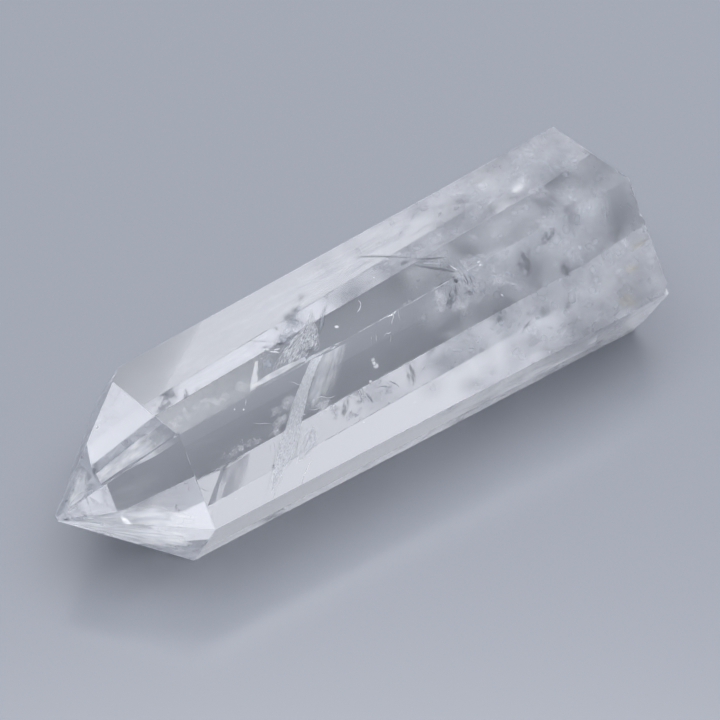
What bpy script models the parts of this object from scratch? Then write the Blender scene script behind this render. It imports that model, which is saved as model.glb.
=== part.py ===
"""Quartz point: a clear rock crystal, cut and polished as a six-sided point, lying on one long flat.

One object, quartz_point. Units are metres with +Z up. The crystal lies along X with its tip towards
-X and its sawn base towards +X. Its wide front flats face -Y, and the flat it lies on is at z = 0.
"""

from collections import namedtuple
from math import cos, radians, sin
from random import Random

import bmesh
import bpy
import numpy as np
from mathutils import Matrix, Vector

MM = 0.001

# Driving dimensions
BODY_LENGTH = 62.4 * MM
TIP_LENGTH = 12.6 * MM
AXIS_HEIGHT = 9.5 * MM
TIP_BACK = 0.1 * MM
TIP_DROP = 0.4 * MM
TIP_BLUNT = 0.35 * MM
EDGE_POLISH = 0.14 * MM
EDGE_SEGMENTS = 2

# A long flat: its bearing about the axis (0 faces the back, 90 faces up, 180 faces the front),
# and how far it stands from the axis at the shoulder and at the base
LongFlat = namedtuple("LongFlat", "bearing near far")
LONG_FLATS = {
    "back_upper": LongFlat(30.0, 10.44 * MM, 11.73 * MM),
    "top": LongFlat(89.4, 9.12 * MM, 12.62 * MM),
    "front_upper": LongFlat(149.0, 9.55 * MM, 11.89 * MM),
    "front_lower": LongFlat(207.4, 10.44 * MM, 12.18 * MM),
    "under": LongFlat(270.0, AXIS_HEIGHT, AXIS_HEIGHT),
    "back_lower": LongFlat(331.0, 10.10 * MM, 11.75 * MM),
}

# A facet of the tip: its bearing about the axis, and how far it leans back towards the tip
TipFacet = namedtuple("TipFacet", "bearing lean")
TIP_FACETS = {
    "tip_back_upper": TipFacet(30.4, 38.2),
    "tip_top": TipFacet(92.8, 37.7),
    "tip_front_upper": TipFacet(149.1, 37.4),
    "tip_front_lower": TipFacet(206.8, 38.8),
    "tip_under": TipFacet(270.0, 35.4),
    "tip_back_lower": TipFacet(330.2, 37.9),
}

# The base is sawn a few degrees off square: its normal turns towards the back and the top
BASE_TURN_BACK = 3.0
BASE_TURN_UP = 1.65

# A chip in an edge: the two flats that meet there, the two that end the edge, how far along it the
# chip is from the first end (0 to 1), and its half length and depth
Chip = namedtuple("Chip", "edge ends share half_length depth")
CHIPS = (
    Chip(("tip_top", "tip_front_upper"), ("tip_front_lower", "front_upper"), 0.985, 0.55 * MM, 0.16 * MM),
    Chip(("top", "front_upper"), ("tip_top", "base"), 0.325, 0.50 * MM, 0.20 * MM),
    Chip(("top", "front_upper"), ("tip_top", "base"), 0.452, 0.70 * MM, 0.22 * MM),
    Chip(("front_upper", "base"), ("top", "front_lower"), 0.28, 0.90 * MM, 0.35 * MM),
    Chip(("front_upper", "base"), ("top", "front_lower"), 0.99, 1.10 * MM, 0.42 * MM),
    Chip(("front_lower", "base"), ("front_upper", "under"), 0.93, 1.20 * MM, 0.50 * MM),
)
CHIP_SLENDER = 0.55
CHIP_ROUGH = 0.06
CHIP_SEED = 11

# The block that the point is cut from
BLOCK_SIDE = 160.0 * MM
ON_PLANE = 0.001 * MM

QUARTZ_COLOR = (0.93, 0.94, 0.96, 1.0)
QUARTZ_IOR = 1.544
QUARTZ_ROUGHNESS = 0.03


def clear_scene():
    for old in list(bpy.data.objects):
        bpy.data.objects.remove(old, do_unlink=True)


def bearing_direction(bearing):
    angle = radians(bearing)
    return Vector((0.0, cos(angle), sin(angle)))


def flat_planes():
    """Gives every flat as a point on it and its outward normal, by name."""
    axis_start = Vector((0.0, 0.0, AXIS_HEIGHT))
    tip = Vector((-TIP_LENGTH, TIP_BACK, AXIS_HEIGHT - TIP_DROP))
    planes = {}
    for name, flat in LONG_FLATS.items():
        outward = bearing_direction(flat.bearing)
        taper = (flat.far - flat.near) / BODY_LENGTH
        normal = (outward - taper * Vector((1.0, 0.0, 0.0))).normalized()
        planes[name] = (axis_start + outward * flat.near, normal)
    for name, facet in TIP_FACETS.items():
        lean = radians(facet.lean)
        normal = bearing_direction(facet.bearing) * cos(lean) - Vector((sin(lean), 0.0, 0.0))
        planes[name] = (tip, normal)
    turn = Matrix.Rotation(radians(BASE_TURN_BACK), 3, "Z") @ Matrix.Rotation(-radians(BASE_TURN_UP), 3, "Y")
    planes["base"] = (axis_start + Vector((BODY_LENGTH, 0.0, 0.0)), turn @ Vector((1.0, 0.0, 0.0)))
    return planes


def corner(planes, names):
    """Finds the point where three flats meet."""
    normals = np.array([planes[name][1] for name in names])
    reaches = [planes[name][0].dot(planes[name][1]) for name in names]
    return Vector(np.linalg.solve(normals, np.array(reaches)))


def cut_flat(bm, point, normal):
    """Grinds one flat: takes off all that stands beyond it and closes the cut."""
    everything = bm.verts[:] + bm.edges[:] + bm.faces[:]
    cut = bmesh.ops.bisect_plane(
        bm, geom=everything, dist=ON_PLANE, plane_co=point, plane_no=normal, clear_outer=True
    )
    rim = [item for item in cut["geom_cut"] if isinstance(item, bmesh.types.BMEdge)]
    bmesh.ops.edgeloop_fill(bm, edges=rim)


def cut_point(planes):
    """Cuts the block to the point, polishes its edges and blunts the very tip."""
    bm = bmesh.new()
    bmesh.ops.create_cube(bm, size=BLOCK_SIDE)
    for point, normal in planes.values():
        cut_flat(bm, point, normal)
    bmesh.ops.bevel(
        bm,
        geom=bm.edges[:],
        offset=EDGE_POLISH,
        offset_type="OFFSET",
        segments=EDGE_SEGMENTS,
        profile=0.5,
        affect="EDGES",
        clamp_overlap=True,
    )
    blunt = Vector((TIP_BLUNT - TIP_LENGTH, 0.0, 0.0))
    cut_flat(bm, blunt, Vector((-1.0, 0.0, 0.0)))
    bmesh.ops.recalc_face_normals(bm, faces=bm.faces[:])
    return bm


def add_chip(bm, planes, chip, rng):
    """Adds the lump that a chip leaves behind, as a cutter lying along its edge."""
    start = corner(planes, chip.edge + chip.ends[:1])
    end = corner(planes, chip.edge + chip.ends[1:])
    along = (end - start).normalized()
    outward = (planes[chip.edge[0]][1] + planes[chip.edge[1]][1]).normalized()
    across = outward.cross(along)
    reach = chip.half_length * CHIP_SLENDER
    turn = Matrix((along, across, outward)).transposed().to_4x4()
    place = Matrix.Translation(start.lerp(end, chip.share) + outward * (reach - chip.depth))
    size = Matrix.Diagonal((chip.half_length, reach, reach, 1.0))
    lump = bmesh.ops.create_icosphere(bm, subdivisions=2, radius=1.0, matrix=place @ turn @ size)
    for vert in lump["verts"]:
        vert.co += Vector(rng.uniform(-1.0, 1.0) for _ in range(3)) * reach * CHIP_ROUGH


def chip_cutter(planes):
    bm = bmesh.new()
    rng = Random(CHIP_SEED)
    for chip in CHIPS:
        add_chip(bm, planes, chip, rng)
    return bm


def seat_offset(bm):
    """Finds the shift that puts the middle of the resting side's box on the origin."""
    lows = [min(vert.co[axis] for vert in bm.verts) for axis in range(3)]
    highs = [max(vert.co[axis] for vert in bm.verts) for axis in range(3)]
    return Vector((-(lows[0] + highs[0]) / 2, -(lows[1] + highs[1]) / 2, -lows[2]))


def make_object(name, bm, shift):
    bmesh.ops.translate(bm, verts=bm.verts[:], vec=shift)
    mesh = bpy.data.meshes.new(name)
    bm.to_mesh(mesh)
    bm.free()
    obj = bpy.data.objects.new(name, mesh)
    bpy.context.scene.collection.objects.link(obj)
    return obj


def polished_quartz():
    material = bpy.data.materials.new("polished clear quartz")
    material.use_nodes = True
    shader = material.node_tree.nodes["Principled BSDF"]
    shader.inputs["Base Color"].default_value = QUARTZ_COLOR
    shader.inputs["Metallic"].default_value = 0.0
    shader.inputs["Roughness"].default_value = QUARTZ_ROUGHNESS
    shader.inputs["IOR"].default_value = QUARTZ_IOR
    shader.inputs["Transmission Weight"].default_value = 1.0
    return material


def build():
    clear_scene()
    planes = flat_planes()
    point_mesh = cut_point(planes)
    shift = seat_offset(point_mesh)
    point = make_object("quartz_point", point_mesh, shift)
    point.data.materials.append(polished_quartz())

    cutter = make_object("chip_cutter", chip_cutter(planes), shift)
    cutter.hide_render = True
    cutter.display_type = "WIRE"

    chipped = point.modifiers.new("edge chips", "BOOLEAN")
    chipped.operation = "DIFFERENCE"
    chipped.solver = "EXACT"
    chipped.object = cutter


build()
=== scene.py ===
"""Looks of a clear quartz point: its polished skin, what is frozen inside it, and a plain studio."""

from math import cos, hypot, pi, radians, sin, sqrt, tan
from random import Random

import bmesh
import bpy
from bpy.props import FloatProperty, FloatVectorProperty, PointerProperty
from mathutils import Matrix, Vector
from mathutils.bvhtree import BVHTree
from mathutils.noise import noise_vector, seed_set


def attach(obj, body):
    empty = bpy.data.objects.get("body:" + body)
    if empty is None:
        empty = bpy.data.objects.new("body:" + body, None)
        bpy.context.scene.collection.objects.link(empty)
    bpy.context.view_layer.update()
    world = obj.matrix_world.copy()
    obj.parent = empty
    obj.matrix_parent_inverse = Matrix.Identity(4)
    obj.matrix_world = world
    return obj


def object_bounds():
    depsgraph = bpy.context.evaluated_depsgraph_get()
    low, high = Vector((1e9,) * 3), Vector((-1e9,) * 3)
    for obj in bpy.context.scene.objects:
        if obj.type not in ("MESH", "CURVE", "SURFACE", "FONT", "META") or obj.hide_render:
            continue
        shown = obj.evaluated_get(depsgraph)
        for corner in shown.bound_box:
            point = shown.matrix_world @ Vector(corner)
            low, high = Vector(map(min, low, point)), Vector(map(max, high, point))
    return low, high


bl_info = {
    "name": "Quartz Point",
    "version": (1, 0, 0),
    "blender": (4, 5, 0),
    "location": "View3D > Sidebar > Quartz Point",
    "description": "Dresses a cut quartz point with its polish, fractures, veils and clouds",
    "category": "Object",
}

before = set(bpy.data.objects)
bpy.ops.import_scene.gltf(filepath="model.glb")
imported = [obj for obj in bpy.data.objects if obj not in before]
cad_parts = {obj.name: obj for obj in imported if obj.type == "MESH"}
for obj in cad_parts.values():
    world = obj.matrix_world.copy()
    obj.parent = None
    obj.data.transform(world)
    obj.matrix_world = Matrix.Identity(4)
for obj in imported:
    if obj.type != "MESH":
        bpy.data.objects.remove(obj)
CAD_LOW, CAD_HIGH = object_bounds()

MM = 0.001
CRYSTAL = "quartz_point"
BODY = "root"
QUARTZ_IOR = 1.544

# The crystal's long axis in its own frame, and how near its skin an inclusion may come
AXIS_HEIGHT = 9.5 * MM
SKIN_GAP = 0.02 * MM

# Edge wear leaves out small flats, flat angles (as a sine) and short edges, and stops short of the ends
LEAST_FACET = 5.0 * MM * MM
LEAST_ANGLE = 0.05
LEAST_EDGE = 1.0 * MM
WEAR_INSET = 0.004

# A soft round film has this many cells each way
PUFF_CELLS = 8

# How near the flat a scattered mark may come, in mm
LEAST_DEPTH = 0.15

# A strip: the share of its width left at its ends, how blunt its taper is, and how long its bends are
STRIP_END = 0.06
STRIP_BLUNT = 0.6
STRIP_BEND = 0.8 * MM

# The lap's marks in mm: the distance from ripple to ripple, and the length, width and depth of the noise
# that makes its hairlines
RIPPLE_LENGTH = 6.25
HAIRLINE = (2.5, 0.12, 0.12)

# A chip shows where the skin is this far from its edge
CHIP_GAP = 0.09 * MM

# The camera, solved from the crystal's corners in the photograph
PHOTO_SIDE = 720
CAMERA_PLACE = Vector((-127.34, -171.64, 216.90)) * MM
CAMERA_AZIMUTH = -37.18
CAMERA_ELEVATION = 44.0
CAMERA_ROLL = -0.35
CAMERA_LENS = 132.2
SENSOR_WIDTH = 36.0

# The studio: pale walls, brighter round one direction
FLOOR_DROP = 0.08 * MM
FLOOR_SIZE = 3.0
WINDOW_BEARING = 2.0
WINDOW_HEIGHT = 10.0
WINDOW_EDGE = 0.25
SOFTBOX_HEIGHT = 0.8
SOFTBOX_HALF_ANGLE = 38.0

# What shows inside the crystal, traced as (pixel x, pixel y, depth): pixels of the photograph, and
# mm behind the flat that each is seen through, along the bent line of sight. A film has two lines, its two
# sides. A strip is (depth, width in mm, its pixels).
BLADE = (
    ((311, 360, 1.2), (305.5, 373, 1.3), (300.5, 385, 1.3), (294, 401, 1.3), (288, 418, 1.2),
     (281.5, 436, 1.1), (276.5, 450, 1.0), (273.5, 465, 0.8), (270, 479, 0.6), (265, 499, 0.4)),
    ((324, 354, 0.5), (317, 368, 0.5), (312, 382, 0.5), (308, 396, 0.5), (305, 410, 0.5), (302, 424, 0.5),
     (299, 438, 0.5), (294, 456, 0.4), (285, 470, 0.4), (276, 495, 0.3)),
)
BLADE_SHEET = (
    ((308, 363, 1.6), (304, 376, 1.6), (299, 390, 1.6), (295, 403, 1.6), (292, 416, 1.6)),
    ((348, 342, 0.8), (344, 363, 0.8), (339, 384, 0.8), (331, 402, 0.8), (318, 420, 0.8)),
)
BLADE_FOOT = (
    ((303, 427, 3.6), (299, 440, 2.6), (296, 452, 1.7), (293, 465, 0.9)),
    ((319, 428, 3.2), (319.5, 440, 2.2), (311, 452, 1.3), (300, 465, 0.5)),
)
BLADE_TAIL = ((312, 460, 0.5), (307, 469, 0.5), (303, 479, 0.4), (300, 488, 0.3))
BLADE_MIDDLE = tuple((px + 9.0, py, depth) for px, py, depth in BLADE[0])
BLADE_BRIGHT_RIMS = ((BLADE[0][:5], 0.12, (300, 390)), (BLADE_TAIL, 0.1, (305, 470)))
# The dark rims are drawn in painted shade
BLADE_DARK_RIMS = ((BLADE[0][5:], 0.05, (276, 455)), (BLADE[1][5:9], 0.07, (295, 450)))
SLIVER = (
    ((319, 335, 0.5), (319, 325, 0.5), (321, 315, 0.6), (326, 304, 0.6)),
    ((319.6, 335, 0.5), (323.6, 324, 0.6), (324.8, 315, 0.6), (326.8, 304, 0.6)),
)
SLIVER_RIMS = tuple((side, 0.1, (321, 318)) for side in SLIVER)
CLUSTER = (
    ((272, 374, 0.4), (275, 358, 0.5), (283, 346, 0.6), (291, 338, 0.7), (300, 329, 0.8), (307, 318, 0.8),
     (310, 306, 0.8)),
    ((306, 360, 1.2), (315, 353, 1.5), (319.5, 343, 1.6), (320, 336, 1.6), (319, 328, 1.5), (316, 318, 1.4),
     (313, 307, 1.2)),
)
CLUSTER_HAZE = (
    ((266, 352, 1.4), (273, 336, 1.6), (283, 316, 1.8), (295, 294, 1.6)),
    ((292, 352, 2.0), (301, 335, 2.2), (307, 318, 2.2), (311, 298, 1.8)),
)
PANE_SIDE = (
    ((254.5, 362, 0.5), (252, 373, 0.5), (248.8, 384, 0.5), (248.5, 392, 0.5)),
    ((259, 360, 0.5), (259, 371, 0.5), (259.5, 379, 0.5), (257, 388, 0.5)),
)
PANE_FOOT = (
    ((249, 392, 0.5), (262, 385, 0.5), (276, 377.5, 0.5), (291, 369.5, 0.5), (307, 361, 0.5)),
    ((252, 384, 0.5), (262, 377, 0.5), (272, 371, 0.5), (287, 363.5, 0.5), (304, 356, 0.5)),
)
PANE = (
    ((258, 360, 0.9), (257.5, 368, 0.9), (259.5, 378, 0.9)),
    ((275, 352, 0.9), (275, 363, 0.9), (274, 372, 0.9)),
)
GLINTS = (
    (0.5, 0.26, (264, 349.2), (266, 349.4), (268, 350), (269.5, 350)),
    (0.5, 0.26, (270, 351.4), (273, 351.8), (276, 352), (279.5, 352.6)),
    (0.6, 0.3, (274, 350), (276, 349.4), (278, 349), (280, 348.6)),
    (0.8, 0.2, (450, 265.4), (452.5, 267), (455, 268.8), (457.4, 270.4)),
    (0.9, 0.26, (477, 262.6), (478, 262.2), (479, 261.8), (480, 261.4)),
    (0.8, 0.24, (500.8, 294), (501.6, 294.8), (502.4, 295.4), (503.4, 296.2)),
    (0.9, 1.2, (313, 427), (313, 435), (311, 443), (304, 453)),
)
KNOT_BLADES = (
    (0.8, 0.34, (413, 258.4), (423, 259.2), (434, 258.6), (447, 257.4)),
    (0.8, 0.46, (415, 265.6), (428, 267.4), (442, 269.4), (457, 272.4)),
    (0.8, 0.3, (354, 257), (374, 256.4), (394, 256.8), (414, 258.2)),
    (0.5, 0.42, (453.5, 277.6), (455, 279.4), (456.6, 281), (458.6, 282.6)),
    (0.6, 0.16, (463, 273.4), (465, 277), (467.4, 281.4), (468.6, 286.4)),
    (0.6, 0.14, (468.6, 275), (470.6, 279), (472.4, 283.4), (473, 288)),
)
KNOT_BARS = (
    (0.9, 0.22, (414, 263), (426, 263.2), (436, 263.4), (447, 264)),
    (0.7, 0.2, (459, 266.6), (462, 268), (465, 270), (468, 272.6)),
    (0.7, 0.16, (469, 258.6), (475, 257), (482, 257.6), (488, 260)),
    (0.7, 0.16, (478, 253.4), (483, 253.2), (487, 255.4), (491, 257.6)),
    (0.6, 0.2, (457.6, 273.5), (459.6, 276.5), (461.4, 280), (462, 283.4)),
    (0.6, 0.24, (464.5, 272.5), (467, 277), (470, 281.5), (471.4, 287)),
    (0.6, 0.24, (468.4, 272), (471.4, 276), (474.6, 281), (475.4, 286)),
    (0.6, 0.2, (471, 288), (472, 289.6), (472.4, 291.4), (472.6, 293)),
    (0.6, 0.26, (478.4, 283), (480.8, 286), (483.4, 290), (485, 295)),
    (0.8, 0.16, (487, 277.6), (493, 275.8), (500, 276.4), (504, 279)),
    (0.8, 0.18, (502, 270.4), (506, 272), (510, 274.4), (513.5, 277.5)),
)
CLUSTER_HEART = ((277, 366, 0.5), (288, 356, 0.7), (299, 347, 0.9), (312, 338, 1.1))
CLUSTER_LEAN = (0.42, -0.9)
KNOT_UPPER = ((448, 260, 0.7), (462, 270, 0.7), (480, 268, 0.7), (500, 274, 0.7))
KNOT_LOWER = ((458, 276, 0.6), (468, 284, 0.6), (482, 290, 0.6))
STAINS = ((637, 243, 0.5, 2.4), (632, 268, 0.6, 2.2), (628, 300, 0.6, 3.0))
# Soft dark spots of painted shade and soft white ones, as (pixel x, pixel y, depth, size in mm)
SHADES = (
    (275.8, 329.3, 1.2, 1.2), (283.5, 338.4, 1.0, 1.5), (280.2, 343.6, 1.0, 1.0),
    (274.4, 346.2, 1.0, 0.8), (301.5, 297.5, 1.2, 1.5), (294.7, 309.6, 1.2, 1.2), (291, 318, 1.2, 2.2),
    (309, 351, 0.4, 1.7), (316.4, 332, 0.4, 0.9), (295, 361, 0.4, 0.7), (456, 280, 0.6, 1.1),
    (468.4, 293, 0.6, 1.2), (452, 297, 1.0, 2.6), (406, 262, 0.6, 1.5), (442, 286, 0.5, 0.6),
    (525, 263, 1.2, 3.4), (566, 271, 1.5, 2.6), (574, 216, 1.5, 3.0), (530, 313.5, 0.6, 1.1),
    (567, 303, 1.2, 1.8), (545, 312, 1.2, 1.8), (549, 236, 1.2, 2.4), (498, 318, 1.2, 3.0),
)
SPOTS = (
    (373, 359.6, 0.5, 0.8), (374, 363, 0.5, 0.8), (376, 366, 0.5, 0.9), (370.5, 381.6, 0.4, 0.6),
    (336.5, 326.5, 0.5, 0.7), (234.6, 409.4, 0.4, 0.3), (243.6, 409.6, 0.4, 0.4), (97.6, 427, 0.4, 0.6),
    (88, 436, 0.4, 0.8),
)
FAINT_SPOTS = (
    (440.4, 308, 0.9, 1.3), (437, 299, 0.9, 1.1), (468, 312, 1.0, 1.5), (456, 310, 1.0, 1.6),
    (480, 300, 1.0, 1.2), (503, 282, 1.0, 1.6), (484, 256, 0.9, 1.4), (404, 304, 0.3, 0.7),
    (409, 300.6, 0.3, 0.7), (283.8, 459.3, 0.3, 0.6),
)
THREADS = (
    (0.4, 0.13, (358, 300), (360.5, 303), (360, 308), (357, 312.5)),
    (0.3, 0.16, (384, 336.5), (386, 334), (388.5, 333.5), (391, 331.5)),
    (0.3, 0.10, (390.5, 335), (390.8, 338), (390.4, 340), (390.8, 342.5)),
    (0.3, 0.10, (393, 313.5), (393.2, 317), (392, 321), (391.8, 325)),
    (0.3, 0.07, (398, 311), (398.6, 314), (399, 317), (400.5, 320)),
    (0.3, 0.08, (371, 336.5), (371.6, 339), (371.2, 341), (372, 344)),
    (0.3, 0.07, (375, 333), (376, 336), (376, 339), (377, 342)),
    (0.4, 0.07, (252.5, 423), (259, 423.6), (266, 423.2), (273, 424.4)),
    (0.5, 0.10, (315.5, 398.5), (321, 396.8), (329, 397.6), (336, 395.5)),
    (0.5, 0.09, (309, 409.5), (315, 409.8), (321, 408), (327, 407.8)),
    (0.5, 0.07, (322, 404.5), (324, 406), (326, 408), (328, 411)),
    (0.4, 0.10, (245.4, 399), (246, 401), (245.4, 403), (245.6, 405.5)),
    (0.4, 0.08, (288, 382), (293, 382.4), (298, 384.6), (302, 385)),
)
DARK_SLIVER = (0.5, 0.30, (529.6, 321), (528, 324), (524.5, 328), (521.6, 334))
SPECKS = (
    (502, 295.4, 0.8, 0.20), (365, 317, 0.4, 0.12), (387, 333, 0.3, 0.16), (234.6, 409.4, 0.4, 0.18),
    (304.3, 414.6, 0.4, 0.22), (257.9, 443.2, 0.3, 0.22), (232.9, 453.9, 0.3, 0.18),
    (242.7, 442.3, 0.3, 0.20), (254, 438.8, 0.3, 0.24), (97.6, 427, 0.4, 0.30), (416.6, 287.2, 0.4, 0.14),
    (246, 400.6, 0.4, 0.16),
)
DARK_SPECKS = (
    (290, 443.2, 0.4, 0.14), (287.3, 450.8, 0.4, 0.16), (110.3, 395, 0.4, 0.14),
    (105.6, 421.6, 0.4, 0.16),
)
WISPS = (
    ((435, 293, 0.9), (439, 298, 0.9), (443, 304, 0.9), (441, 310, 0.9)),
    ((272, 414, 0.6), (279, 411, 0.6), (286, 405, 0.6), (291, 398, 0.6)),
    ((273, 433, 0.5), (278, 427, 0.5), (282, 421, 0.5), (287, 414, 0.5)),
    ((455, 306, 1.0), (461, 308, 1.0), (468, 304, 1.0), (473, 298, 1.0)),
    ((497, 283, 1.0), (500, 279, 1.0), (503, 276, 1.0), (507, 273, 1.0)),
    ((316, 404, 0.5), (321, 406, 0.5), (326, 403, 0.5), (331, 399, 0.5)),
)
SNOW = ((226, 457, 0.3), (235, 452, 0.3), (245, 445, 0.3), (260, 439, 0.3))
EDGE_SNOW = ((171, 425, 0.5), (190, 413, 0.5), (212, 403, 0.5), (232, 393, 0.5), (250, 383, 0.5))

TIP_STREAKS = (
    ((66, 521.8, 0.8), (110, 525, 4.5), (160, 528, 7.5), (209, 531, 7.8)),
    ((70, 524.2, 0.3), (110, 535, 0.4), (150, 546.6, 0.4), (190, 558, 0.3)),
)
TIP_TOP_VEIL = (
    ((96, 474, 0.4), (118, 456, 1.2), (145, 435, 2.2), (165, 423, 3.0)),
    ((101, 484, 0.4), (124, 468, 1.2), (150, 452, 2.2), (175, 434, 3.0)),
)
TIP_PATCH = (
    ((66, 507, 0.5), (76, 496, 0.5), (84, 487, 0.5)),
    ((70, 511, 0.5), (82, 501, 0.5), (91, 491.5, 0.5)),
)
TIP_WINDOW_HAZE = (
    ((62, 517, 0.5), (95, 493, 0.6), (135, 466, 0.6), (174, 439, 0.5)),
    ((70, 520, 0.5), (115, 522, 0.6), (160, 525, 0.6), (208, 528, 0.5)),
)
TIP_HAZE = (
    ((60, 512, 0.5), (72, 485, 0.6), (80, 462, 0.6)),
    ((72, 516, 0.5), (84, 497, 0.6), (93, 478, 0.6)),
)

# Stray specks: how many, where along the crystal in mm, how far out, and how large in mm
STRAY_SPECKS = 70
STRAY_REACH = (-22.0, 34.0)
STRAY_SPREAD = 0.95
STRAY_SIZES = (0.04, 0.1)

# Veils along the crystal: x from and to in mm, then for each side its bearing and how far out it lies
VEILS = (
    (-24.0, 22.0, (50.0, 0.93), (84.0, 0.95)),
    (-24.0, -8.0, (60.0, 0.88), (100.0, 0.90)),
    (-10.0, 24.0, (28.0, 0.88), (70.0, 0.90)),
)

# The milky cloud towards the sawn end: soft round films, closer together the nearer they are to it
CLOUD_PUFFS = 180
CLOUD_FROM = 9.0
CLOUD_TO = 36.0
CLOUD_CROWDING = 0.42
CLOUD_LEAST = 5.0
CLOUD_MOST = 9.0
CLOUD_SPREAD = 0.93
CLOUD_TURN_DEPTH = 4.0


def srgb(code):
    """Turns an sRGB hex colour into the linear colour that a shader takes."""
    channels = [int(code[i : i + 2], 16) / 255.0 for i in (0, 2, 4)]
    linear = [c / 12.92 if c <= 0.04045 else ((c + 0.055) / 1.055) ** 2.4 for c in channels]
    return (*linear, 1.0)


def colour(name, description, code):
    return FloatVectorProperty(
        name=name, description=description, subtype="COLOR", size=4, min=0.0, max=1.0, default=srgb(code)
    )


def amount(name, description, default, **more):
    return FloatProperty(name=name, description=description, default=default, min=0.0, **more)


class QuartzPointLooks(bpy.types.PropertyGroup):
    """Colours and sizes of the crystal's looks"""

    depth_tint: colour("Depth tint", "Colour that light takes on through thick quartz", "E4E9F2")
    depth_density: amount("Depth density", "How fast the tint builds up, per metre", 3.0)
    ripple: amount(
        "Polish ripple", "Height of the waves that the lap left", 0.9e-6, unit="LENGTH", precision=7
    )
    hairline: amount(
        "Polish hairlines", "Depth of the hairlines that the lap left", 0.05e-6, unit="LENGTH", precision=8
    )
    wear_width: amount(
        "Edge wear", "Width of the bruised strip on each side of an edge", 0.00013, unit="LENGTH", precision=5
    )
    fracture: colour("Fracture", "Colour of the silvery fractures", "FCFDFF")
    # The fracture shadow is a painted shade colour, for the dark fracture films and the blurred shades
    shadow: colour("Fracture shadow", "Colour of a fracture's unlit side", "59616D")
    veil: colour("Veil", "Colour of the healed veils", "FBFCFF")
    cloud: colour("Cloud", "Colour of the milky end", "E8EBF2")
    veil_cover: amount("Veil cover", "How much a veil hides", 0.25, max=1.0, subtype="FACTOR")
    cloud_cover: amount(
        "Cloud cover", "How much each film of the milky end hides", 0.7, max=1.0, subtype="FACTOR"
    )
    stain: colour("Stain", "Colour of the iron stain near the sawn end", "CDBE8E")
    floor: colour("Floor", "Colour of the table board", "767A82")
    wall_light: amount("Wall light", "Brightness of the walls", 0.62)
    window_light: amount("Window light", "Brightness of the wall round the window", 0.97)
    softbox_light: amount("Softbox light", "Brightness of the overhead softbox", 3.5)


def add(tree, kind, settings=None, links=None):
    """Adds a node with its settings and, by socket name or number, what feeds it: an output, or a node for
    its first output."""
    node = tree.nodes.new("ShaderNode" + kind)
    for key, value in (settings or {}).items():
        if isinstance(key, int) or key in node.inputs:
            node.inputs[key].default_value = value
        else:
            setattr(node, key, value)
    for key, source in (links or {}).items():
        output = source.outputs[0] if isinstance(source, bpy.types.Node) else source
        tree.links.new(output, node.inputs[key])
    return node


def new_material(name):
    material = bpy.data.materials.new(name)
    material.use_nodes = True
    material.node_tree.nodes.clear()
    return material


def polished_quartz(looks):
    """Rock crystal, ground flat and polished: glass-clear, with the lap's faint ripple and hairlines."""
    material = new_material("Rock crystal, lap-ground and polished")
    tree = material.node_tree
    where = add(tree, "TexCoord").outputs["Object"]
    slow = {"Scale": 1.0 / (RIPPLE_LENGTH * MM), "Detail": 2.0, "Roughness": 0.45}
    ripple = add(tree, "TexNoise", slow, {"Vector": where})
    heights = {"Strength": 1.0, "Distance": looks.ripple}
    waves = add(tree, "Bump", heights, {"Height": ripple})
    drawn_out = {"operation": "MULTIPLY", 1: tuple(1.0 / (size * MM) for size in HAIRLINE)}
    along = add(tree, "VectorMath", drawn_out, {0: where})
    hairs = add(tree, "TexNoise", {"Scale": 1.0, "Detail": 1.0}, {"Vector": along})
    depths = {"Strength": 1.0, "Distance": looks.hairline}
    skin = add(tree, "Bump", depths, {"Height": hairs, "Normal": waves})
    shader = add(tree, "BsdfPrincipled", {
        "Base Color": (1.0, 1.0, 1.0, 1.0),
        "Roughness": 0.0,
        "IOR": QUARTZ_IOR,
        "Transmission Weight": 1.0,
    }, {"Normal": skin})
    dimming = {"Color": tuple(looks.depth_tint), "Density": looks.depth_density}
    depth = add(tree, "VolumeAbsorption", dimming)
    add(tree, "OutputMaterial", links={"Surface": shader, "Volume": depth})
    return material


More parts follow.
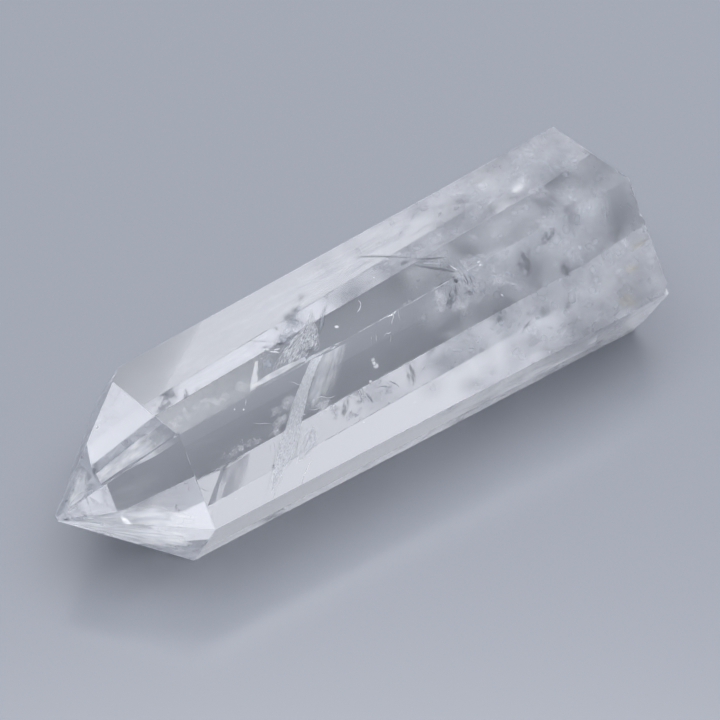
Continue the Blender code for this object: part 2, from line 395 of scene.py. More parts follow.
def film_material(name, pale, dark, cover, grain, gaps, ragged, softness, stretch=1.0, metallic=0.0,
                  detail=5.0):
    """A thin film in the quartz. It hides cover of what is behind it, less where its noise leaves gaps. Its
    patches are grain mm wide and stretch times as long, and it thins out over softness towards its rim."""
    material = new_material(name)
    tree = material.node_tree
    share = add(tree, "UVMap", {"uv_map": "share"})
    in_mm = add(tree, "UVMap", {"uv_map": "mm"})
    patch = (1.0 / (grain * stretch), 1.0 / grain, 1.0)
    drawn = add(tree, "VectorMath", {"operation": "MULTIPLY", 1: patch}, {0: in_mm})
    coarse = {"Scale": 1.0, "Detail": detail, "Roughness": 0.6}
    noise = add(tree, "TexNoise", coarse, {"Vector": drawn})
    fine = {"Scale": 2.3, "Detail": 0.8 * detail, "Roughness": 0.65}
    tone_noise = add(tree, "TexNoise", fine, {"Vector": drawn})
    steep = {"From Min": 0.38, "From Max": 0.62}
    tone = add(tree, "MapRange", steep, {"Value": tone_noise})
    tones = {"data_type": "RGBA", 6: dark, 7: tuple(pale)}
    tint = add(tree, "Mix", tones, {0: tone})
    thinned = {"From Min": 0.35, "From Max": 0.6, "To Min": 1.0 - gaps}
    patches = add(tree, "MapRange", thinned, {"Value": noise})
    sides = add(tree, "SeparateXYZ", links={0: share})
    folded = {"operation": "PINGPONG", 1: 0.5}
    u_edge = add(tree, "Math", folded, {0: sides.outputs["X"]})
    v_edge = add(tree, "Math", folded, {0: sides.outputs["Y"]})
    times = {"operation": "MULTIPLY"}
    edge = add(tree, "Math", times, {0: u_edge, 1: v_edge})
    torn = {"From Min": 0.35, "From Max": 0.65, "To Min": 2.0 - 2.0 * ragged, "To Max": 2.0 + 2.0 * ragged}
    wander = add(tree, "MapRange", torn, {"Value": noise})
    rim = add(tree, "Math", times, {0: edge, 1: wander})
    faded = {"interpolation_type": "SMOOTHSTEP", "From Max": softness, "To Max": cover}
    fade = add(tree, "MapRange", faded, {"Value": rim})
    alpha = add(tree, "Math", {"operation": "MULTIPLY", "use_clamp": True}, {0: fade, 1: patches})
    seen = {"Base Color": tint.outputs[2], "Alpha": alpha}
    shader = add(tree, "BsdfPrincipled", {"Roughness": 0.6, "Metallic": metallic}, seen)
    add(tree, "OutputMaterial", links={"Surface": shader})
    return material


def silvery_fracture(looks):
    """An open fracture: the air in it mirrors light, broken into a fine silky mottle along its run."""
    return film_material(
        "Open fracture in quartz, silvery", looks.fracture, srgb("C4CAD5"), cover=0.9, grain=0.16,
        stretch=3.0, gaps=0.3, ragged=0.6, softness=0.05, metallic=0.3,
    )


def crushed_fracture(looks):
    """A crushed fracture: many short steps all leaning one way, bright and in painted shade by turns."""
    return film_material(
        "Crushed fracture in quartz, streaked silver", looks.fracture, srgb("7F8796"), cover=0.88,
        grain=0.18, stretch=7.0, gaps=0.75, ragged=0.8, softness=0.12, metallic=0.2,
    )


def bright_fracture(looks):
    """A patch of fracture that faces the light: nearly white."""
    return film_material(
        "Open fracture in quartz, mirror-bright", looks.fracture, srgb("DDE2EC"), cover=0.9, grain=0.4,
        stretch=2.0, gaps=0.4, ragged=0.5, softness=0.25, metallic=0.3,
    )


def fracture_painted_half_shade(looks):
    """A ridge of fracture turned half to the light, painted in as half shade: a soft mid grey."""
    return film_material(
        "Open fracture in quartz, painted half shade", srgb("C4CAD5"), srgb("99A1AE"), cover=0.66, grain=0.3,
        stretch=3.0, gaps=0.6, ragged=0.7, softness=0.4, metallic=0.1,
    )


def white_spot(looks):
    """A tight cluster of bubbles that catches the light: a smooth soft white."""
    return film_material(
        "Bubble cluster in quartz, smooth white", looks.veil, srgb("F2F4F9"), cover=0.85, grain=1.5,
        gaps=0.15, ragged=0.3, softness=0.4, metallic=0.4, detail=1.0,
    )


def fracture_painted_shade(looks):
    """The unlit side of a fracture, painted in as shade: a grey line or fleck."""
    return film_material(
        "Open fracture in quartz, painted shade of its unlit side", looks.shadow, srgb("3E454F"), cover=0.72,
        grain=0.5, gaps=0.4, ragged=0.5, softness=0.2,
    )


def painted_soft_shade(looks):
    """A fold of a fracture that sends no light back, painted in as shade: a blurred grey spot."""
    return film_material(
        "Fracture fold in quartz, a blurred painted shade", looks.shadow, srgb("4C5460"), cover=0.62, grain=0.7,
        gaps=0.55, ragged=0.8, softness=0.5,
    )


def haze_with_painted_shade(looks):
    """A veil seen edge on, greyed with painted shade: it dims what lies behind it a little."""
    return film_material(
        "Healed fracture in quartz, haze greyed with painted shade", srgb("B4BAC7"), srgb("949CAA"), cover=0.68, grain=0.9,
        stretch=2.0, gaps=0.45, ragged=0.7, softness=0.35,
    )


def snowy_grain(looks):
    """Single bubbles and their strings: a fine white powder."""
    return film_material(
        "Bubble strings in quartz, snowy", looks.veil, srgb("D3D8E2"), cover=0.75, grain=0.1, gaps=0.8,
        ragged=0.8, softness=0.4, metallic=0.1,
    )


def bubble_fluff(looks):
    """Bubbles too fine to tell apart: a soft white breath."""
    return film_material(
        "Bubble fluff in quartz, a white breath", looks.veil, srgb("E6E9F1"), cover=0.36, grain=0.22,
        gaps=0.8, ragged=0.3, softness=0.5,
    )


def healed_veil(looks):
    """A fracture that grew shut: a soft pale veil of fine bubbles, drawn out along the crystal."""
    return film_material(
        "Healed fracture in quartz, a soft veil", looks.veil, srgb("CFD4DF"), cover=looks.veil_cover,
        grain=2.2, stretch=5.0, gaps=0.9, ragged=0.6, softness=0.4, detail=1.6,
    )


def pale_sheet(looks):
    """A smooth half-clear film of the long fracture."""
    return film_material(
        "Fracture film in quartz, half clear", looks.fracture, srgb("DDE1E9"), cover=0.72, grain=1.4,
        stretch=2.5, gaps=0.3, ragged=0.4, softness=0.25, metallic=0.1, detail=2.0,
    )


def brushed_veil(looks):
    """A fan of fine steps in the tip that face the light: brush-like white streaks."""
    return film_material(
        "Stepped fracture in quartz, brushed white", looks.fracture, srgb("E2E6EE"), cover=0.93,
        grain=0.9, stretch=7.0, gaps=0.4, ragged=0.4, softness=0.16, metallic=0.1, detail=1.6,
    )


def milky_cloud(looks):
    """Milky quartz: clouds of bubbles too small to see one by one."""
    return film_material(
        "Milky quartz, clouded by tiny bubbles", looks.cloud, srgb("DDE1E9"), cover=looks.cloud_cover,
        grain=5.0, gaps=0.3, ragged=0.0, softness=0.9, detail=1.0,
    )


def frosted_edge(looks):
    """Edges knocked and rubbed by handling: a thin broken line of white bruises."""
    return film_material(
        "Quartz edge, rubbed to a white frost", srgb("E6E9EF"), srgb("B9BFCB"), cover=0.75, grain=0.3,
        stretch=8.0, gaps=0.7, ragged=0.5, softness=0.45, metallic=0.1,
    )


def iron_stain(looks):
    """A trace of iron in a crack at the sawn end: a faint straw-yellow film."""
    return film_material(
        "Iron stain in quartz, straw yellow", looks.stain, srgb("D8CFAE"), cover=0.4, grain=0.8,
        stretch=1.5, gaps=0.7, ragged=0.6, softness=0.6,
    )


def satin_board(looks):
    """A matt-lacquered board: pale grey, with a soft blurred reflection."""
    material = new_material("Table board, satin lacquer")
    tree = material.node_tree
    shader = add(tree, "BsdfPrincipled", {"Base Color": tuple(looks.floor), "Roughness": 0.22})
    add(tree, "OutputMaterial", links={"Surface": shader})
    return material


def link(obj):
    bpy.context.scene.collection.objects.link(obj)
    return obj


def camera_turn():
    turn = Matrix.Rotation(radians(CAMERA_AZIMUTH), 3, "Z")
    tilt = Matrix.Rotation(radians(90.0 - CAMERA_ELEVATION), 3, "X")
    return turn @ tilt @ Matrix.Rotation(radians(CAMERA_ROLL), 3, "Z")


def from_edge(u, v):
    """For a film that is cut off sharply where it starts, at an edge of the crystal."""
    return 0.5 + 0.5 * u, v


def fading_away(u, v):
    """For a film that thins out at its far end only."""
    return 0.5 + 0.5 * u, 0.5


def open_ends(u, v):
    """For a film that thins out at its sides only."""
    return 0.5, v


def smooth_line(points, count):
    """Samples a smooth line through the points (Catmull-Rom)."""
    ends = [points[0] * 2 - points[1], *points, points[-1] * 2 - points[-2]]
    line = []
    for step in range(count):
        along = step / (count - 1) * (len(points) - 1)
        first = min(int(along), len(points) - 2)
        t = along - first
        a, b, c, d = ends[first : first + 4]
        square = (2 * a - 5 * b + 4 * c - d) * t * t
        cube = (3 * b - a - 3 * c + d) * t**3
        line.append(0.5 * (2 * b + (c - a) * t + square + cube))
    return line


class Inclusion:
    """One piece inside the crystal: films, threads and flakes in one mesh, placed by how they show."""

    def __init__(self, name, seed):
        self.name = name
        self.dice = Random(seed)
        seed_set(seed)
        self.skin = BVHTree.FromObject(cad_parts[CRYSTAL], bpy.context.evaluated_depsgraph_get())
        self.turn = camera_turn()
        self.bm = bmesh.new()
        self.in_mm = self.bm.loops.layers.uv.new("mm")
        self.in_share = self.bm.loops.layers.uv.new("share")
        self.paint = 0

    def enter(self, px, py):
        """Where the sight line of a pixel meets the crystal, and its direction inside, bent by the quartz."""
        focal = PHOTO_SIDE * CAMERA_LENS / SENSOR_WIDTH
        line = Vector(((px - PHOTO_SIDE / 2) / focal, (PHOTO_SIDE / 2 - py) / focal, -1.0))
        line = (self.turn @ line).normalized()
        hit, normal, _, _ = self.skin.ray_cast(CAMERA_PLACE, line)
        if hit is None:
            raise ValueError(f"pixel {px}, {py} isn't on the crystal")
        bend = 1.0 / QUARTZ_IOR
        facing = -normal.dot(line)
        bent = bend * line + (bend * facing - sqrt(1.0 - bend * bend * (1.0 - facing * facing))) * normal
        return hit, bent.normalized()

    def place(self, px, py, depth):
        hit, bent = self.enter(px, py)
        return hit + bent * depth * MM

    def trace(self, points):
        return [self.place(*point) for point in points]

    def lit_facing(self, px, py):
        """The facing that mirrors the light overhead along a pixel's sight line."""
        return (Vector((0.0, 0.0, 1.0)) - self.enter(px, py)[1]).normalized()

    def sight(self, px, py):
        """The bent sight line of a pixel, which a film seen square on faces."""
        return self.enter(px, py)[1]

    def spoke(self, x, bearing, share):
        """A place at a share of the way from the crystal's axis out to its skin."""
        middle = Vector((x, 0.0, AXIS_HEIGHT))
        out = Vector((0.0, cos(bearing), sin(bearing)))
        return middle.lerp(self.skin.ray_cast(middle, out)[0], share)

    def tuck(self, spot):
        """Moves a place that would reach the skin back under it."""
        near, normal, _, _ = self.skin.find_nearest(spot)
        if (spot - near).dot(normal) > -SKIN_GAP:
            spot = near - normal * SKIN_GAP
        return Vector(max(low, min(part, high)) for low, part, high in zip(CAD_LOW, spot, CAD_HIGH))

    def grid(self, rows, columns, spot, size, shift=0.0, share=None):
        """Lays a net of quads: spot(u, v) gives each point's place, size the net's length and width in mm,
        and share(u, v) how far along and across its film a point counts as: 0 and 1 are its rim."""
        share = share or (lambda u, v: (u, v))
        net = []
        for row in range(rows + 1):
            places = [spot(row / rows, column / columns) for column in range(columns + 1)]
            net.append([self.bm.verts.new(self.tuck(place)) for place in places])
        for row in range(rows):
            for column in range(columns):
                corners = ((row, column), (row, column + 1), (row + 1, column + 1), (row + 1, column))
                face = self.bm.faces.new([net[r][c] for r, c in corners])
                face.smooth = True
                face.material_index = self.paint
                for loop, (r, c) in zip(face.loops, corners):
                    loop[self.in_share].uv = share(r / rows, c / columns)
                    loop[self.in_mm].uv = (r / rows * size[0] + shift, c / columns * size[1] + shift)

    def film(self, sides, rows, columns, crumple, grain, stretch=1.0, share=None):
        """Lofts a crumpled film between two lines of (pixel x, pixel y, depth)."""
        self.loft(self.trace(sides[0]), self.trace(sides[1]), rows, columns, crumple, grain, stretch, share)

    def loft(self, side_a, side_b, rows, columns, crumple, grain, stretch=1.0, share=None):
        """Lofts a film between two lines. Its creases are grain mm wide and stretch times as long."""
        a_line, b_line = smooth_line(side_a, rows + 1), smooth_line(side_b, rows + 1)
        length = sum((p - q).length for p, q in zip(a_line, a_line[1:])) / MM
        width = sum((p - q).length for p, q in zip(a_line, b_line)) / len(a_line) / MM
        shift = self.dice.uniform(0.0, 90.0)

        def spot(u, v):
            row = round(u * rows)
            crease = Vector((u * length / (grain * stretch), v * width / grain, shift))
            return a_line[row].lerp(b_line[row], v) + noise_vector(crease) * crumple * MM

        self.grid(rows, columns, spot, (length, width), shift, share)

    def puff(self, centre, facing, size, stretch=1.0, crumple=0.1):
        """Lays a soft round film, size mm across, that thins out from its middle to its rim."""
        turn = Matrix.Rotation(self.dice.uniform(0.0, pi), 3, facing)
        along = turn @ facing.orthogonal().normalized()
        over = facing.cross(along)
        shift = self.dice.uniform(0.0, 90.0)

        def flatten(u, v):
            s, t = 2.0 * u - 1.0, 2.0 * v - 1.0
            return s * sqrt(1.0 - t * t / 2.0), t * sqrt(1.0 - s * s / 2.0)

        def spot(u, v):
            s, t = flatten(u, v)
            wave = noise_vector(Vector((s, t, shift))).x * crumple
            reach = along * s * sqrt(stretch) + over * t / sqrt(stretch) + facing * wave
            return centre + reach * size / 2.0 * MM

        def share(u, v):
            return 0.5, 0.5 - 0.5 * hypot(*flatten(u, v))

        self.grid(PUFF_CELLS, PUFF_CELLS, spot, (size, size), shift, share)

    def scatter(self, guide, spread):
        """A random place near a guide line, within about spread pixels of it, and the line's way there."""
        at = self.dice.random() * (len(guide) - 1)
        first = min(int(at), len(guide) - 2)
        a, b = Vector(guide[first]), Vector(guide[first + 1])
        gauss = self.dice.gauss
        spot = a.lerp(b, at - first) + Vector((gauss(0, spread), gauss(0, spread), gauss(0, 0.1)))
        spot.z = max(spot.z, LEAST_DEPTH)
        return spot, (b - a).to_2d().normalized()

    def fluff(self, guide, count, spread, size):
        """Scatters soft puffs along a guide line, turned to the light."""
        for _ in range(count):
            spot, _ = self.scatter(guide, spread)
            across = size * self.dice.uniform(0.5, 1.4)
            self.puff(self.place(*spot), self.lit_facing(spot.x, spot.y), across, self.dice.uniform(1.0, 2.5))

    def powder(self, guide, count, spread, size):
        """Scatters tiny flakes along a guide line."""
        for _ in range(count):
            spot, _ = self.scatter(guide, spread)
            self.flake(self.place(*spot), size * self.dice.uniform(0.4, 1.5), 1)

    def ribbon(self, points, width, facing, wander=0.0):
        """Draws a thin strip along a line, pointed at both ends."""
        count = 4 * len(points)
        line = smooth_line(points, count + 1)
        shift = self.dice.uniform(0.0, 90.0)
        length = sum((p - q).length for p, q in zip(line, line[1:])) / MM

        def spot(u, v):
            step = round(u * count)
            ahead = line[min(step + 1, count)] - line[max(step - 1, 0)]
            taper = STRIP_END + (1.0 - STRIP_END) * sin(pi * u) ** STRIP_BLUNT
            side = ahead.cross(facing).normalized() * width * MM * (v - 0.5) * taper
            bend = noise_vector(line[step] / STRIP_BEND + Vector((shift, 0.0, 0.0))) * wander * MM
            return line[step] + side + bend

        self.grid(count, 2, spot, (length, width), shift, open_ends)

    def strips(self, strips, facing, wander, swell=1.0):
        """Draws traced strips, swell times as wide as they are given. Facing gives their facing by pixel."""
        for depth, width, *pixels in strips:
            line = [self.place(px, py, depth) for px, py in pixels]
            self.ribbon(line, swell * width, facing(*pixels[1]), wander)

    def rims(self, rims):
        """Draws a strip along each (line, width in mm, pixel whose sight line meets the mirrored light)."""
        for line, width, pixel in rims:
            self.ribbon(self.trace(line), width, self.lit_facing(*pixel))

    def dabs(self, spots, facing, longest):
        """Lays a soft round film at each traced spot, up to longest times as long as it is wide."""
        for px, py, depth, size in spots:
            stretch = self.dice.uniform(1.0, longest)
            self.puff(self.place(px, py, depth), facing(px, py), size, stretch)

    def threads(self, guide, count, spread, length, width, lean=None, fan=0.35):
        """Scatters short bent threads along a guide line, within spread pixels of it."""
        gauss = self.dice.gauss
        for _ in range(count):
            spot, along = self.scatter(guide, spread)
            way = Vector((*(lean or along), 0.0)) + Vector((gauss(0, fan), gauss(0, fan), 0.0))
            way.normalize()
            bow = Vector((-way.y, way.x, 0.0)) * gauss(0, 0.12)
            reach = length * self.dice.uniform(0.35, 1.0)
            line = []
            for t in (-0.5, -0.25, 0.0, 0.25, 0.5):
                line.append(self.place(*(spot + way * reach * t + bow * reach * (4 * t * t - 1))))
            facing = self.lit_facing(spot.x, spot.y) + Vector((gauss(0, 0.3), gauss(0, 0.3), gauss(0, 0.3)))
            self.ribbon(line, width * self.dice.uniform(0.5, 1.4), facing)

    def random_way(self):
        gauss = self.dice.gauss
        return Vector((gauss(0, 1), gauss(0, 1), gauss(0, 1))).normalized()

    def flake(self, spot, size, roundness=2):
        """A small uneven flake."""
        shape = Matrix.Diagonal((self.dice.uniform(0.7, 1.2), self.dice.uniform(0.4, 0.8), 0.25, 1.0))
        turn = Matrix.Rotation(self.dice.uniform(0.0, 2.0 * pi), 4, self.random_way())
        where = Matrix.Translation(spot) @ turn @ shape
        radius = 0.5 * size * MM
        made = bmesh.ops.create_icosphere(self.bm, subdivisions=roundness, radius=radius, matrix=where)
        shift = Vector((self.dice.uniform(0.0, 90.0), 0.0, 0.0))
        for vert in made["verts"]:
            dent = noise_vector(vert.co / (0.3 * size * MM) + shift) * size * 0.08 * MM
            vert.co = self.tuck(vert.co + dent)
        for face in {face for vert in made["verts"] for face in vert.link_faces}:
            face.material_index = self.paint
            for loop in face.loops:
                loop[self.in_share].uv = (0.5, 0.5)
                loop[self.in_mm].uv = ((loop.vert.co.x + loop.vert.co.z) / MM, loop.vert.co.y / MM)

    def flakes(self, spots):
        for *place, size in spots:
            self.flake(self.place(*place), size)

    def finish(self, *materials):
        mesh = bpy.data.meshes.new(self.name)
        self.bm.to_mesh(mesh)
        self.bm.free()
        piece = link(bpy.data.objects.new(self.name, mesh))
        for material in materials:
            mesh.materials.append(material)
        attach(piece, BODY)


def crystal_edges():
    """The crystal's sharp edges, as (start, end, facing of one flat, facing of the other)."""
    flats = {}
    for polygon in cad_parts[CRYSTAL].data.polygons:
        key = tuple(round(part, 2) for part in polygon.normal)
        area, normal, reach = flats.get(key, (0.0, polygon.normal.copy(), polygon.normal.dot(polygon.center)))
        flats[key] = (area + polygon.area, normal, max(reach, polygon.normal.dot(polygon.center)))
    planes = [(normal, reach) for area, normal, reach in flats.values() if area > LEAST_FACET]
    edges = []
    for index, (normal_a, reach_a) in enumerate(planes):
        for normal_b, reach_b in planes[index + 1 :]:
            way = normal_a.cross(normal_b)
            if way.length < LEAST_ANGLE:
                continue
            on_both = (reach_a * normal_b.cross(way) + reach_b * way.cross(normal_a)) / way.length_squared
            way.normalize()
            low, high = -1.0, 1.0
            for normal, reach in planes:
                if normal in (normal_a, normal_b):
                    continue
                slope = normal.dot(way)
                room = reach - normal.dot(on_both)
                if slope > 1e-6:
                    high = min(high, room / slope)
                elif slope < -1e-6:
                    low = max(low, room / slope)
                elif room < 0.0:
                    low, high = 0.0, 0.0
            if high - low > LEAST_EDGE:
                edges.append((on_both + way * low, on_both + way * high, normal_a, normal_b))
    return edges


class Maker:
    """What every operator shares: it makes its pieces with the looks that the panel shows."""

    def execute(self, context):
        self.make(context.scene.quartz_point)
        return {"FINISHED"}


class QUARTZ_OT_crystal(Maker, bpy.types.Operator):
    """Gives the crystal its polished see-through quartz"""

    bl_idname = "quartz.crystal"
    bl_label = "Crystal"

    def make(self, looks):
        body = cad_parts[CRYSTAL]
        body.data.materials.clear()
        body.data.materials.append(polished_quartz(looks))


class QUARTZ_OT_long_fracture(Maker, bpy.types.Operator):
    """Makes the long curved fracture across the front flat"""

    bl_idname = "quartz.long_fracture"
    bl_label = "Long fracture"

    def make(self, looks):
        blade = Inclusion("fracture_blade", 1)
        blade.film(BLADE, rows=110, columns=30, crumple=0.03, grain=0.3, stretch=4.0, share=from_edge)
        blade.finish(silvery_fracture(looks))
        streaks = Inclusion("blade_streaks", 2)
        streaks.threads(BLADE_MIDDLE, 50, 2.6, 12.0, 0.035, fan=0.12)
        streaks.rims(BLADE_BRIGHT_RIMS)
        # The threads and rims from here on are painted shade
        streaks.paint = 1
        streaks.threads(BLADE_MIDDLE, 16, 3.0, 6.0, 0.04, fan=0.15)
        streaks.rims(BLADE_DARK_RIMS)
        streaks.finish(bright_fracture(looks), fracture_painted_shade(looks))
        sheet = Inclusion("blade_sheet", 3)
        sheet.film(BLADE_SHEET, rows=50, columns=40, crumple=0.05, grain=1.0, stretch=3.0, share=from_edge)
        sheet.finish(pale_sheet(looks))
        foot = Inclusion("blade_foot", 4)
        foot.film(BLADE_FOOT, rows=30, columns=20, crumple=0.02, grain=0.8)
        foot.finish(pale_sheet(looks))


class QUARTZ_OT_fracture_cluster(Maker, bpy.types.Operator):
    """Makes the crushed, silvery fractures under the top flat"""

    bl_idname = "quartz.fracture_cluster"
    bl_label = "Fracture cluster"

    def make(self, looks):
        cluster = Inclusion("fracture_cluster", 5)
        cluster.film(CLUSTER, rows=110, columns=60, crumple=0.06, grain=0.3, stretch=5.0)
        cluster.finish(crushed_fracture(looks))
        streaks = Inclusion("cluster_streaks", 6)
        streaks.threads(CLUSTER_HEART, 90, 4.5, 8.0, 0.035, CLUSTER_LEAN, 0.25)
        # The threads and the sliver's rims from here on are painted shade
        streaks.paint = 1
        streaks.threads(CLUSTER_HEART, 50, 5.0, 6.0, 0.04, CLUSTER_LEAN, 0.25)
        streaks.rims(SLIVER_RIMS)
        streaks.finish(bright_fracture(looks), fracture_painted_shade(looks))
        # The cluster's haze, the sliver and the pane are films greyed with painted shade
        haze = Inclusion("cluster_haze", 7)
        haze.film(CLUSTER_HAZE, rows=40, columns=30, crumple=0.1, grain=1.2, stretch=2.0)
        haze.film(SLIVER, rows=30, columns=8, crumple=0.02, grain=0.5)
        haze.film(PANE, rows=20, columns=20, crumple=0.02, grain=1.0)
        haze.finish(haze_with_painted_shade(looks))
        rim = Inclusion("pane_rim", 8)
        rim.film(PANE_SIDE, rows=30, columns=12, crumple=0.02, grain=0.5, share=open_ends)
        rim.film(PANE_FOOT, rows=60, columns=12, crumple=0.03, grain=0.4, stretch=3.0, share=open_ends)
        rim.finish(pale_sheet(looks))


class QUARTZ_OT_fracture_knot(Maker, bpy.types.Operator):
    """Makes the knot of small fractures on the upper front edge"""

    bl_idname = "quartz.fracture_knot"
    bl_label = "Fracture knot"

    def make(self, looks):
        knot = Inclusion("fracture_knot", 9)
        # Bars and threads in painted half shade, then blades, the dark sliver and threads in painted shade
        knot.strips(KNOT_BARS, knot.lit_facing, 0.04, 1.8)
        knot.threads(KNOT_UPPER, 60, 4.5, 8.0, 0.06, (0.8, 0.45), 0.4)
        knot.threads(KNOT_LOWER, 50, 3.5, 8.0, 0.06, (0.45, 0.85), 0.25)
        knot.paint = 1
        knot.strips((*KNOT_BLADES, DARK_SLIVER), knot.sight, 0.03)
        knot.threads(KNOT_LOWER, 20, 3.0, 7.0, 0.07, (0.45, 0.85), 0.25)
        knot.paint = 2
        knot.fluff(KNOT_UPPER, 16, 5.0, 1.2)
        knot.fluff(KNOT_LOWER, 12, 4.0, 1.0)
        knot.finish(fracture_painted_half_shade(looks), fracture_painted_shade(looks), bubble_fluff(looks))


class QUARTZ_OT_tip_veils(Maker, bpy.types.Operator):
    """Makes the bright streaks and the haze in the tip"""

    bl_idname = "quartz.tip_veils"
    bl_label = "Tip veils"

    def make(self, looks):
        tip = Inclusion("tip_veils", 19)
        tip.film(TIP_STREAKS, rows=60, columns=16, crumple=0.04, grain=1.0, stretch=8.0)
        tip.film(TIP_PATCH, rows=16, columns=10, crumple=0.02, grain=0.5)
        tip.paint = 1
        tip.film(TIP_TOP_VEIL, rows=40, columns=16, crumple=0.02, grain=1.0, stretch=4.0, share=fading_away)
        tip.film(TIP_HAZE, rows=24, columns=16, crumple=0.05, grain=1.0)
        tip.paint = 2
        tip.film(TIP_WINDOW_HAZE, rows=30, columns=30, crumple=0.05, grain=2.0)
        tip.finish(brushed_veil(looks), pale_sheet(looks), healed_veil(looks))


class QUARTZ_OT_marks(Maker, bpy.types.Operator):
    """Makes the glints, shades, threads, wisps and specks"""

    bl_idname = "quartz.marks"
    bl_label = "Glints, shades, threads and specks"

    def make(self, looks):
        bright, dark = bright_fracture(looks), fracture_painted_shade(looks)
        glints = Inclusion("glints", 10)
        glints.strips(GLINTS, glints.lit_facing, 0.03)
        glints.finish(bright)
        shades = Inclusion("fracture_shades", 11)
        # The shades are painted shade: soft dark films seen square on
        shades.dabs(SHADES, shades.sight, 2.2)
        shades.finish(painted_soft_shade(looks))
        threads = Inclusion("threads", 12)
        threads.strips(THREADS, threads.lit_facing, 0.05)
        threads.finish(bright)
        wisps = Inclusion("wisps", 13)
        wisps.dabs(SPOTS, wisps.lit_facing, 1.6)
        wisps.paint = 1
        wisps.dabs(FAINT_SPOTS, wisps.lit_facing, 1.6)
        for guide in WISPS:
            wisps.fluff(guide, 14, 2.0, 1.2)
        wisps.fluff(SNOW, 14, 1.8, 0.8)
        wisps.fluff(EDGE_SNOW, 20, 2.4, 1.1)
        wisps.paint = 2
        for guide in WISPS:
            wisps.powder(guide, 20, 2.6, 0.05)
            wisps.threads(guide, 12, 2.0, 6.0, 0.03, fan=0.5)
        wisps.powder(SNOW, 180, 2.4, 0.11)
        wisps.threads(SNOW, 50, 2.2, 3.0, 0.06, fan=0.9)
        wisps.powder(EDGE_SNOW, 260, 3.0, 0.1)
        wisps.threads(EDGE_SNOW, 120, 2.6, 6.0, 0.05, fan=0.4)
        wisps.finish(white_spot(looks), bubble_fluff(looks), snowy_grain(looks))
        specks = Inclusion("specks", 14)
        specks.flakes(SPECKS)
        for _ in range(STRAY_SPECKS):
            x, bearing = specks.dice.uniform(*STRAY_REACH) * MM, specks.dice.uniform(0.0, 2.0 * pi)
            place = specks.spoke(x, bearing, sqrt(specks.dice.random()) * STRAY_SPREAD)
            specks.flake(place, specks.dice.uniform(*STRAY_SIZES))
        # The dark specks from here on are painted shade
        specks.paint = 1
        specks.flakes(DARK_SPECKS)
        specks.finish(bright, dark)


class QUARTZ_OT_veils(Maker, bpy.types.Operator):
    """Makes the faint veils along the crystal and the milky cloud at its sawn end"""

    bl_idname = "quartz.veils"
    bl_label = "Veils and milky cloud"

    def make(self, looks):
        veils = Inclusion("healed_veils", 15)
        for start, end, (bearing_a, share_a), (bearing_b, share_b) in VEILS:
            stops = [start + (end - start) * step / 6 for step in range(7)]
            side_a = [veils.spoke(x * MM, radians(bearing_a), share_a) for x in stops]
            side_b = [veils.spoke(x * MM, radians(bearing_b), share_b) for x in stops]
            veils.loft(side_a, side_b, rows=60, columns=24, crumple=0.5, grain=5.0, stretch=2.5)
        veils.finish(healed_veil(looks))
        cloud = Inclusion("milky_cloud", 16)
        for _ in range(CLOUD_PUFFS):
            x = CLOUD_FROM + (CLOUD_TO - CLOUD_FROM) * cloud.dice.random() ** CLOUD_CROWDING
            out = sqrt(cloud.dice.random()) * CLOUD_SPREAD
            centre = cloud.spoke(x * MM, cloud.dice.uniform(0.0, 2.0 * pi), out)
            _, outward, _, depth = cloud.skin.find_nearest(centre)
            turned = min(depth / (CLOUD_TURN_DEPTH * MM), 1.0)
            facing = (outward + cloud.random_way() * turned).normalized()
            cloud.puff(centre, facing, cloud.dice.uniform(CLOUD_LEAST, CLOUD_MOST))
        cloud.finish(milky_cloud(looks))


class QUARTZ_OT_edge_wear(Maker, bpy.types.Operator):
    """Makes the thin white line of wear along every edge"""

    bl_idname = "quartz.edge_wear"
    bl_label = "Edge wear"

    def make(self, looks):
        width = looks.wear_width
        wear = Inclusion("edge_wear", 17)
        for start, end, normal_a, normal_b in crystal_edges():
            way = (end - start).normalized()
            over_a, over_b = way.cross(normal_a), normal_b.cross(way)
            if over_a.dot(normal_b) > 0.0:
                over_a, over_b = -over_a, -over_b
            length = (end - start).length / MM

            def spot(u, v):
                side = over_a * max(0.0, 1.0 - 2.0 * v) + over_b * max(0.0, 2.0 * v - 1.0)
                return start.lerp(end, WEAR_INSET + (1.0 - 2.0 * WEAR_INSET) * u) + side * width

            def share(u, v):
                chipped = wear.skin.find_nearest(spot(u, v))[3] > CHIP_GAP
                return (0.0, 0.0) if chipped else (u, v)

            size = (length, 2.0 * width / MM)
            wear.grid(max(12, round(length * 2.0)), 4, spot, size, wear.dice.uniform(0.0, 90.0), share)
        wear.finish(frosted_edge(looks))


class QUARTZ_OT_stain(Maker, bpy.types.Operator):
    """Makes the faint iron stain at the sawn end"""

    bl_idname = "quartz.stain"
    bl_label = "Iron stain"

    def make(self, looks):
        stain = Inclusion("iron_stain", 18)
        for px, py, depth, size in STAINS:
            stain.puff(stain.place(px, py, depth), stain.sight(px, py), size, 1.8, 0.3)
        stain.finish(iron_stain(looks))


def studio_walls(looks):
    """Pale walls all round, brightest towards the window side, which lights the crystal from behind."""
    world = bpy.data.worlds.new("studio walls")
    world.use_nodes = True
    tree = world.node_tree
    tree.nodes.clear()
    where = add(tree, "TexCoord")
    bearing = radians(WINDOW_BEARING)
    window = Vector((cos(bearing), sin(bearing), tan(radians(WINDOW_HEIGHT)))).normalized()
    towards = {"operation": "DOT_PRODUCT", 1: window}
    facing = add(tree, "VectorMath", towards, {0: where.outputs["Generated"]})
    glow = add(tree, "MapRange", {
        "interpolation_type": "SMOOTHSTEP",
        "From Min": WINDOW_EDGE,
        "From Max": 1.0,
        "To Min": looks.wall_light,
        "To Max": looks.window_light,
    }, {"Value": facing.outputs["Value"]})
    back = add(tree, "Background", {"Color": srgb("F0F3FC")}, {"Strength": glow})
    add(tree, "OutputWorld", links={"Surface": back})
    return world


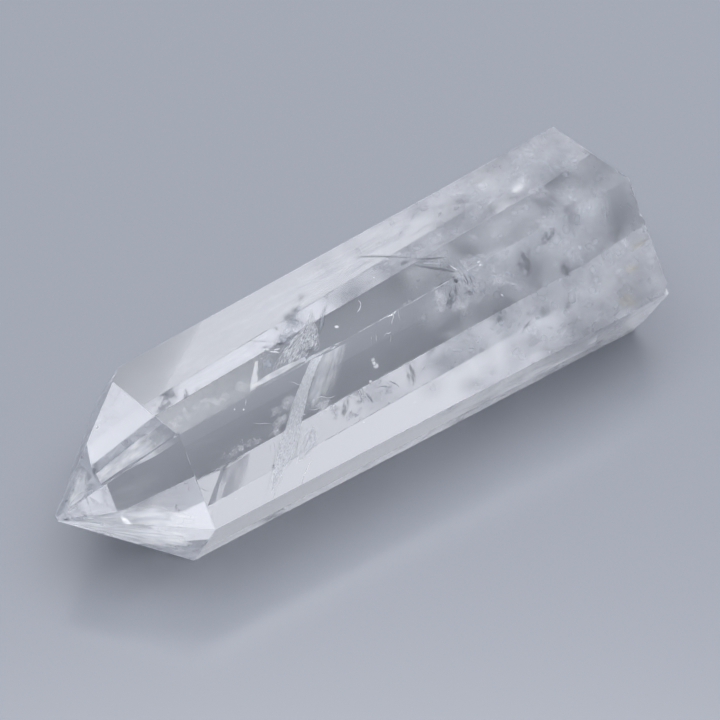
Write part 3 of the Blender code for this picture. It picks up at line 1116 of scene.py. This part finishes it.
def overhead_softbox(looks):
    """A round soft light straight above, as seen from the crystal SOFTBOX_HALF_ANGLE to each side."""
    light = bpy.data.lights.new("softbox", "AREA")
    light.shape = "DISK"
    light.size = 2.0 * SOFTBOX_HEIGHT * tan(radians(SOFTBOX_HALF_ANGLE))
    light.energy = looks.softbox_light * pi * pi * (light.size / 2.0) ** 2
    lamp = link(bpy.data.objects.new("softbox", light))
    lamp.location = (0.0, 0.0, SOFTBOX_HEIGHT)


class QUARTZ_OT_studio(Maker, bpy.types.Operator):
    """Makes the floor, the soft light and the camera"""

    bl_idname = "quartz.studio"
    bl_label = "Studio"

    def make(self, looks):
        scene = bpy.context.scene
        mesh = bpy.data.meshes.new("floor")
        bm = bmesh.new()
        bmesh.ops.create_grid(bm, x_segments=1, y_segments=1, size=FLOOR_SIZE)
        bmesh.ops.translate(bm, verts=bm.verts[:], vec=(0.0, 0.0, -FLOOR_DROP))
        bm.to_mesh(mesh)
        bm.free()
        floor = link(bpy.data.objects.new("floor", mesh))
        mesh.materials.append(satin_board(looks))
        scene.world = studio_walls(looks)
        overhead_softbox(looks)

        camera = link(bpy.data.objects.new("camera", bpy.data.cameras.new("camera")))
        camera.data.lens = CAMERA_LENS
        camera.data.sensor_width = SENSOR_WIDTH
        camera.data.clip_start = 0.01
        camera.location = CAMERA_PLACE
        camera.rotation_euler = camera_turn().to_euler()
        scene.camera = camera

        scene.view_settings.view_transform = "Standard"
        cycles = scene.cycles
        cycles.max_bounces = 32
        cycles.transmission_bounces = 32
        cycles.glossy_bounces = 24
        cycles.transparent_max_bounces = 128


OPERATORS = (
    QUARTZ_OT_crystal,
    QUARTZ_OT_long_fracture,
    QUARTZ_OT_fracture_cluster,
    QUARTZ_OT_fracture_knot,
    QUARTZ_OT_tip_veils,
    QUARTZ_OT_marks,
    QUARTZ_OT_veils,
    QUARTZ_OT_edge_wear,
    QUARTZ_OT_stain,
    QUARTZ_OT_studio,
)


class QUARTZ_PT_looks(bpy.types.Panel):
    """Lists the crystal's sizes, colours and pieces"""

    bl_idname = "QUARTZ_PT_looks"
    bl_label = "Quartz Point"
    bl_space_type = "VIEW_3D"
    bl_region_type = "UI"
    bl_category = "Quartz Point"

    def draw(self, context):
        for name in QuartzPointLooks.__annotations__:
            self.layout.prop(context.scene.quartz_point, name)
        for operator in OPERATORS:
            self.layout.operator(operator.bl_idname)


CLASSES = (QuartzPointLooks, *OPERATORS, QUARTZ_PT_looks)


def register():
    for cls in CLASSES:
        bpy.utils.register_class(cls)
    bpy.types.Scene.quartz_point = PointerProperty(type=QuartzPointLooks)


def unregister():
    del bpy.types.Scene.quartz_point
    for cls in reversed(CLASSES):
        bpy.utils.unregister_class(cls)


def main():
    register()
    for operator in OPERATORS:
        getattr(bpy.ops.quartz, operator.bl_idname.removeprefix("quartz."))()


if __name__ == "__main__":
    main()
